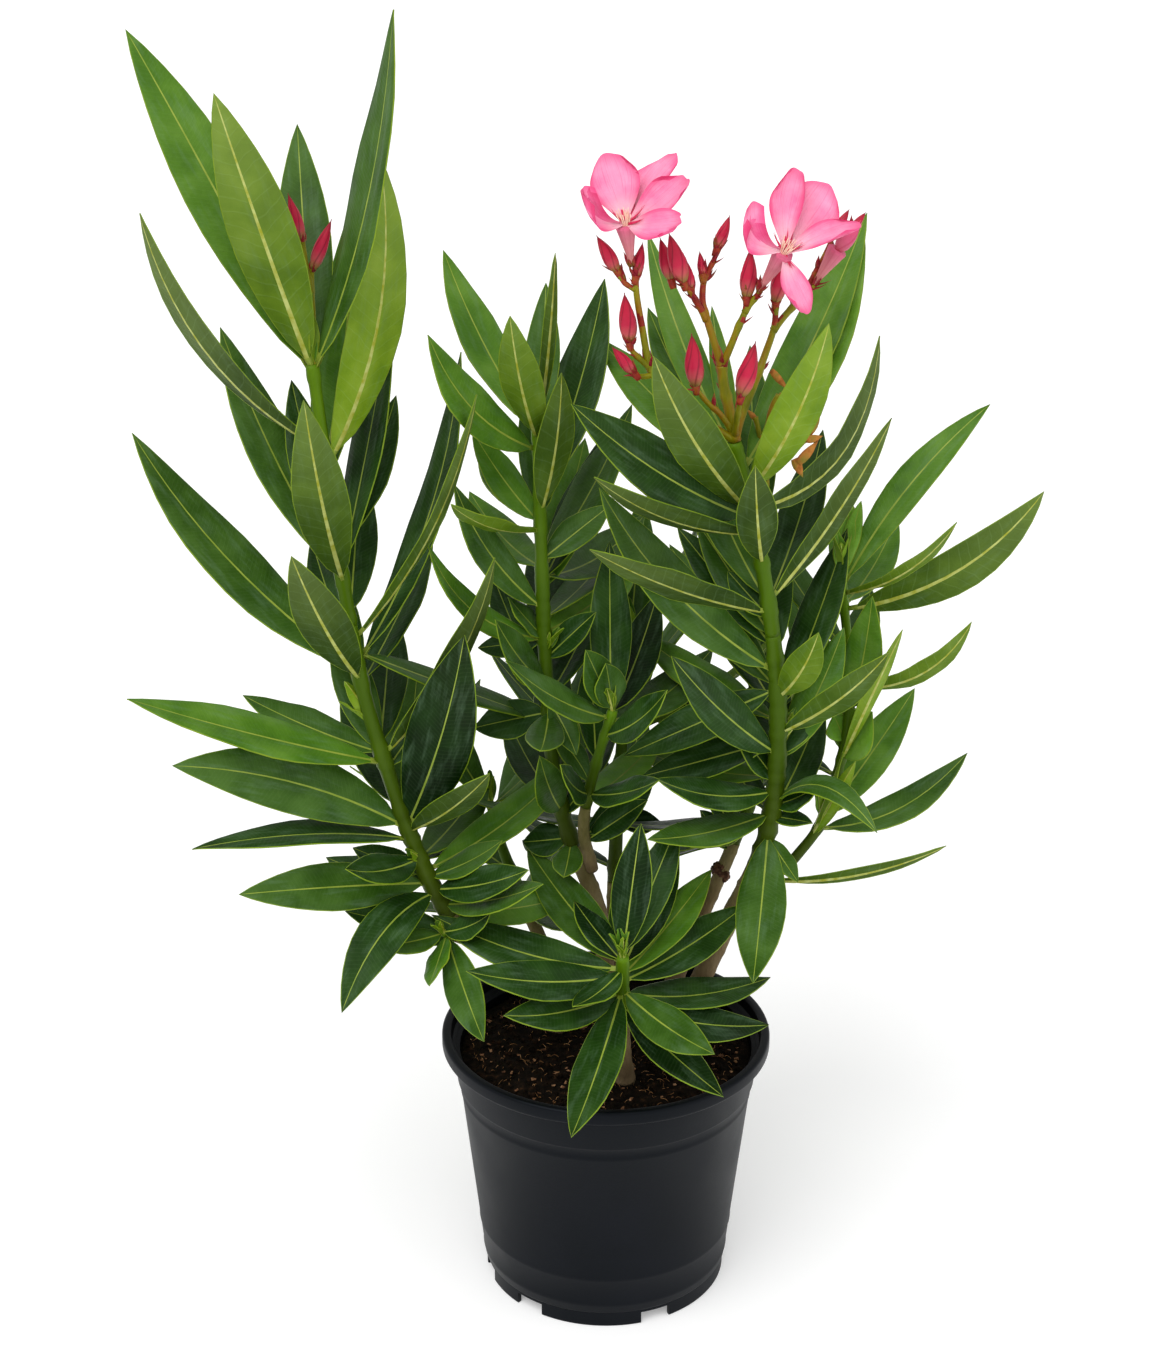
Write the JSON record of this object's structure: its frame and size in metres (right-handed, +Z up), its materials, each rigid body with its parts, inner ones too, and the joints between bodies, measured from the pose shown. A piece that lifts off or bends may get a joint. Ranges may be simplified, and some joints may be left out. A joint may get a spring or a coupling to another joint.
{
  "type": "potted oleander",
  "caption": "Young flowering shrub with lance-shaped leaves on upright stems and a head of pink blooms, growing in a round black nursery pot.",
  "frame": {"origin": "centre of the flat underside of the pot, which stands on the ground", "axes": "+Z up along the pot's axis, -Y towards the side that the picture shows, +X to the right of that side"},
  "size_m": [0.4888, 0.3463, 0.7287],
  "materials": {
    "pot": "satin",
    "soil": "matte",
    "stem": "matte",
    "leaf": "satin",
    "flower": "satin"
  },
  "bodies": {
    "root": {"pot": "pot", "soil": "soil", "flower_head": "flower", "stem_left": "stem", "stem_middle": "stem", "stem_inner": "stem", "stem_right": "stem", "stem_side": "stem", "stem_front": "stem", "stem_twig": "stem", "stem_rear": "stem", "stem_back": "stem", "stem_far": "stem", "foliage_left_lower": "leaf", "foliage_left_upper": "leaf", "foliage_middle": "leaf", "foliage_inner": "leaf", "foliage_right_lower": "leaf", "foliage_right_upper": "leaf", "foliage_side": "leaf", "foliage_front": "leaf", "foliage_twig": "leaf", "foliage_rear": "leaf", "foliage_back": "leaf", "foliage_far": "leaf"}
  },
  "joints": []
}
